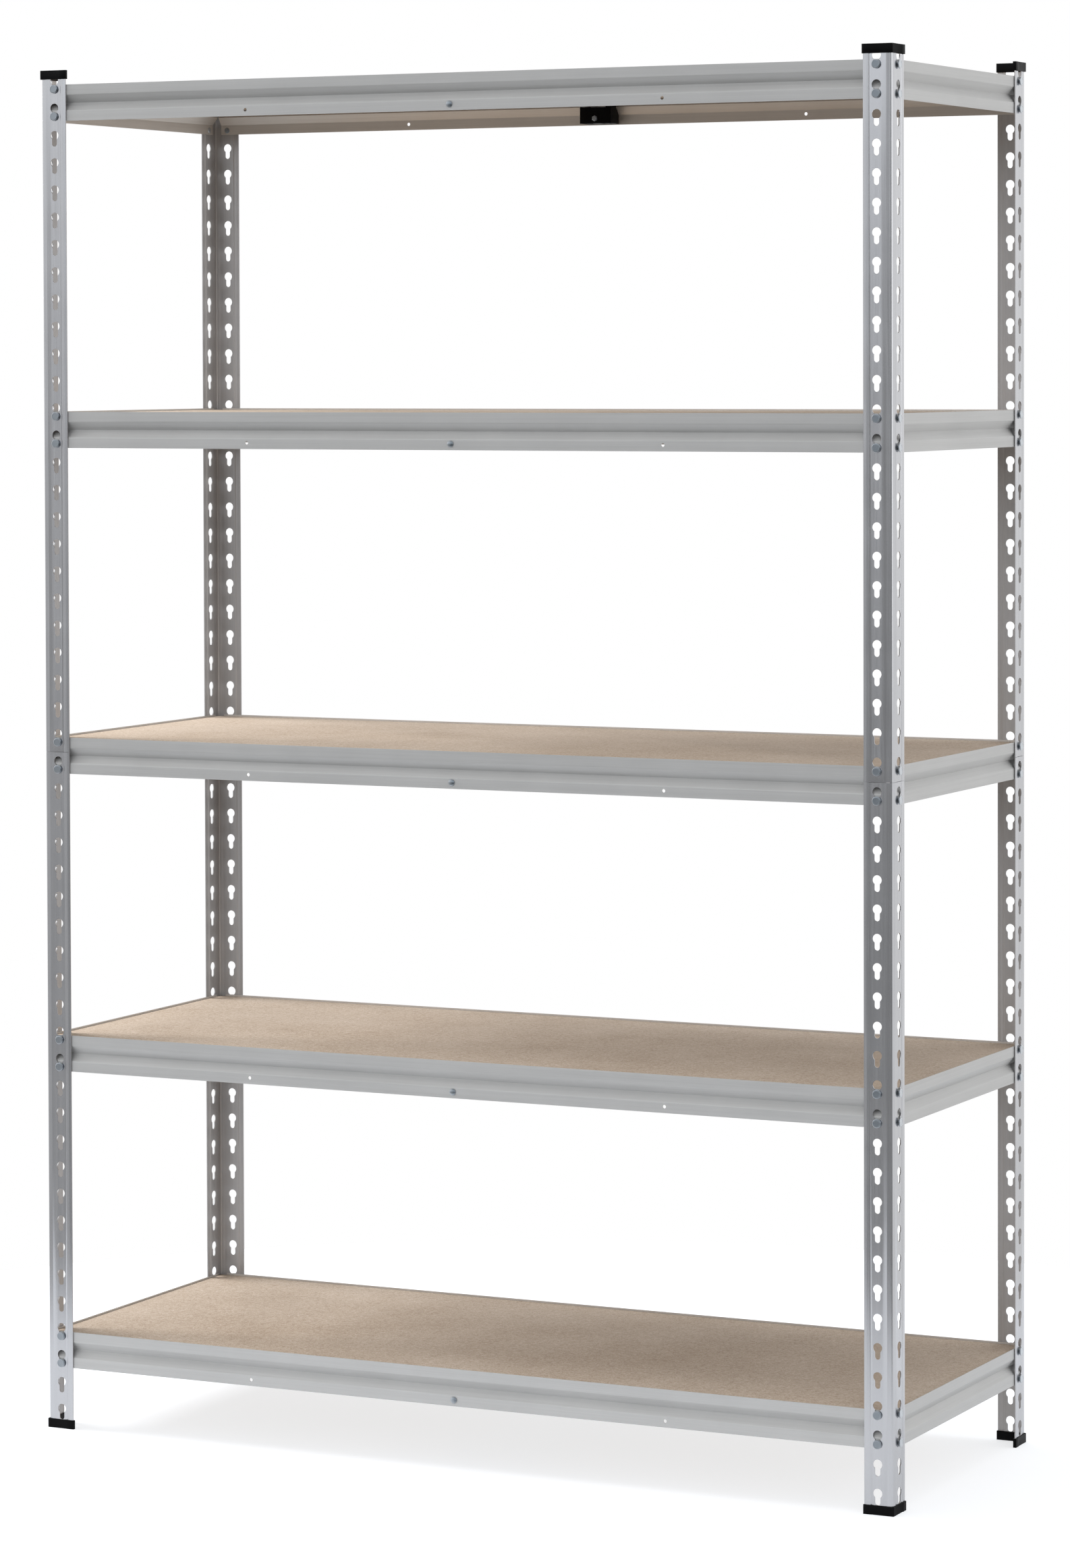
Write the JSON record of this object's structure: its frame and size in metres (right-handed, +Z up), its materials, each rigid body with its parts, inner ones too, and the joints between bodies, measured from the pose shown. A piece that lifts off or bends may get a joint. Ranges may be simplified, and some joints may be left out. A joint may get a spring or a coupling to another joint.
{
  "type": "boltless steel shelving",
  "caption": "Free-standing boltless shelving: keyholed angle posts, V-grooved steel beams hooked in on rivets, chipboard shelf panels, black plastic caps and feet.",
  "frame": {"origin": "on the floor, at the middle of the footprint", "axes": "+X to the right along the long side, +Y from the front to the back, +Z up"},
  "size_m": [1.216, 0.471, 1.8047],
  "materials": {
    "post_steel": "galvanised, satin, fine streaks along the length",
    "beam_steel": "galvanised, satin, fine streaks along the length",
    "chipboard": "raw pressed chipboard, finely speckled, matt",
    "black_plastic": "moulded, satin black"
  },
  "bodies": {
    "frame": {"post_front_left_lower": "post_steel", "post_front_left_upper": "post_steel", "foot_front_left": "black_plastic", "cap_front_left": "black_plastic", "post_front_right_lower": "post_steel", "post_front_right_upper": "post_steel", "foot_front_right": "black_plastic", "cap_front_right": "black_plastic", "post_back_left_lower": "post_steel", "post_back_left_upper": "post_steel", "foot_back_left": "black_plastic", "cap_back_left": "black_plastic", "post_back_right_lower": "post_steel", "post_back_right_upper": "post_steel", "foot_back_right": "black_plastic", "cap_back_right": "black_plastic"},
    "level_1": {"beam_front_1": "beam_steel", "beam_back_1": "beam_steel", "beam_left_1": "beam_steel", "beam_right_1": "beam_steel", "bracket_front_1": "black_plastic", "bracket_back_1": "black_plastic", "support_bar_1": "beam_steel"},
    "panel_1": {"board_1": "chipboard"},
    "level_2": {"beam_front_2": "beam_steel", "beam_back_2": "beam_steel", "beam_left_2": "beam_steel", "beam_right_2": "beam_steel", "bracket_front_2": "black_plastic", "bracket_back_2": "black_plastic", "support_bar_2": "beam_steel"},
    "panel_2": {"board_2": "chipboard"},
    "level_3": {"beam_front_3": "beam_steel", "beam_back_3": "beam_steel", "beam_left_3": "beam_steel", "beam_right_3": "beam_steel", "bracket_front_3": "black_plastic", "bracket_back_3": "black_plastic", "support_bar_3": "beam_steel"},
    "panel_3": {"board_3": "chipboard"},
    "level_4": {"beam_front_4": "beam_steel", "beam_back_4": "beam_steel", "beam_left_4": "beam_steel", "beam_right_4": "beam_steel", "bracket_front_4": "black_plastic", "bracket_back_4": "black_plastic", "support_bar_4": "beam_steel"},
    "panel_4": {"board_4": "chipboard"},
    "level_5": {"beam_front_5": "beam_steel", "beam_back_5": "beam_steel", "beam_left_5": "beam_steel", "beam_right_5": "beam_steel", "bracket_front_5": "black_plastic", "bracket_back_5": "black_plastic", "support_bar_5": "beam_steel"},
    "panel_5": {"board_5": "chipboard"}
  },
  "joints": [
    {"name": "level_1_unhook", "type": "slide", "parent": "frame", "child": "level_1", "axis": [0, 0, 1], "range_m": [0, 0.0109]},
    {"name": "panel_1_lift", "type": "slide", "parent": "level_1", "child": "panel_1", "axis": [0, 0, 1], "range_m": [0, 0.3]},
    {"name": "level_2_unhook", "type": "slide", "parent": "frame", "child": "level_2", "axis": [0, 0, 1], "range_m": [0, 0.0109]},
    {"name": "panel_2_lift", "type": "slide", "parent": "level_2", "child": "panel_2", "axis": [0, 0, 1], "range_m": [0, 0.3]},
    {"name": "level_3_unhook", "type": "slide", "parent": "frame", "child": "level_3", "axis": [0, 0, 1], "range_m": [0, 0.0109]},
    {"name": "panel_3_lift", "type": "slide", "parent": "level_3", "child": "panel_3", "axis": [0, 0, 1], "range_m": [0, 0.3]},
    {"name": "level_4_unhook", "type": "slide", "parent": "frame", "child": "level_4", "axis": [0, 0, 1], "range_m": [0, 0.0109]},
    {"name": "panel_4_lift", "type": "slide", "parent": "level_4", "child": "panel_4", "axis": [0, 0, 1], "range_m": [0, 0.3]},
    {"name": "level_5_unhook", "type": "slide", "parent": "frame", "child": "level_5", "axis": [0, 0, 1], "range_m": [0, 0.0065]},
    {"name": "panel_5_lift", "type": "slide", "parent": "level_5", "child": "panel_5", "axis": [0, 0, 1], "range_m": [0, 0.3]}
  ]
}
